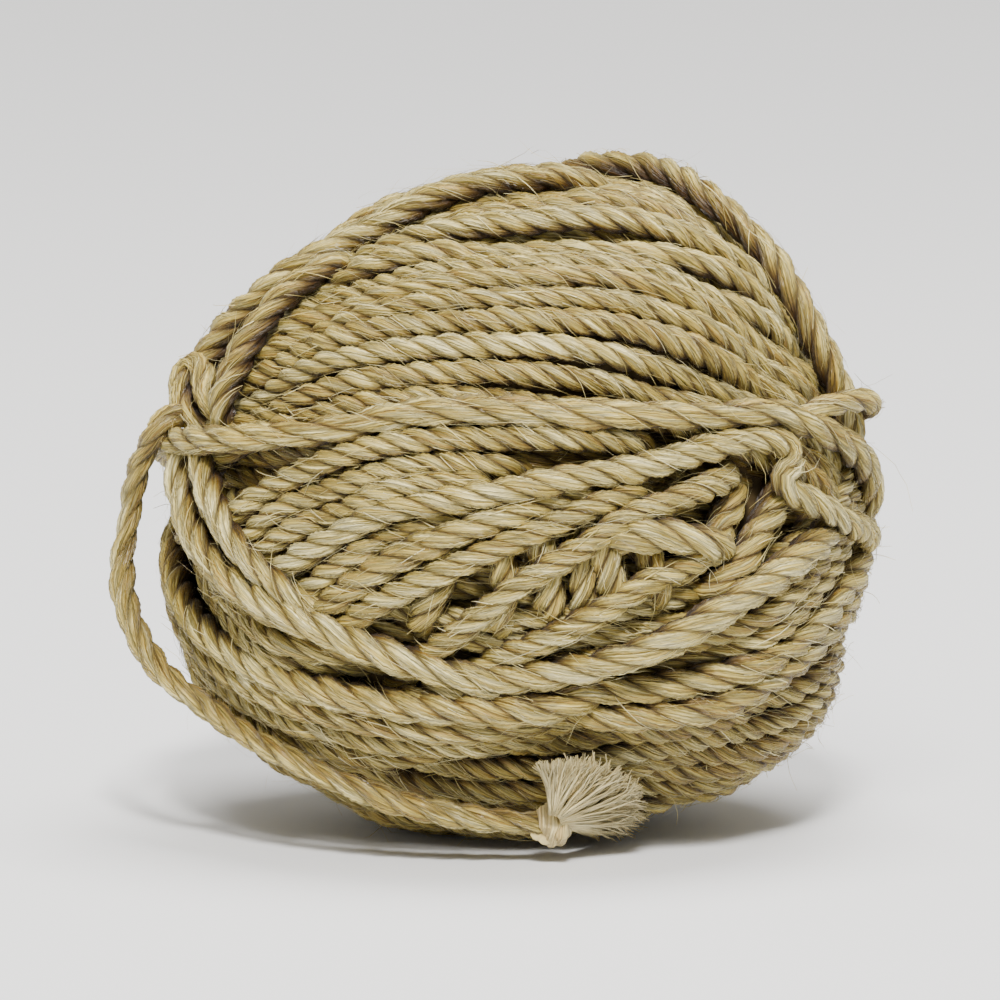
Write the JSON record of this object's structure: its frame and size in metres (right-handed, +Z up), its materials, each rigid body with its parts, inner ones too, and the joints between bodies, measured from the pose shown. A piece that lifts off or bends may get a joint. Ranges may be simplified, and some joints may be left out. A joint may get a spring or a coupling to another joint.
{
  "type": "ball of string",
  "caption": "Ball of thick natural sisal string, wound in crossing bands over a round core, with a small flat spot to rest on and one loose end that is knotted and frayed",
  "frame": {"origin": "on the surface that the ball rests on, under the middle of the ball", "axes": "+Z up, +X to the right and -Y towards someone who looks at the side with the loose end"},
  "size_m": [0.1409, 0.1243, 0.1203],
  "materials": {
    "string": "three-strand sisal, dry and hairy",
    "frayed": "loose pale sisal fibre"
  },
  "bodies": {
    "root": {"ball": "string", "loose_end": "string", "end_knot": "frayed"}
  },
  "joints": []
}
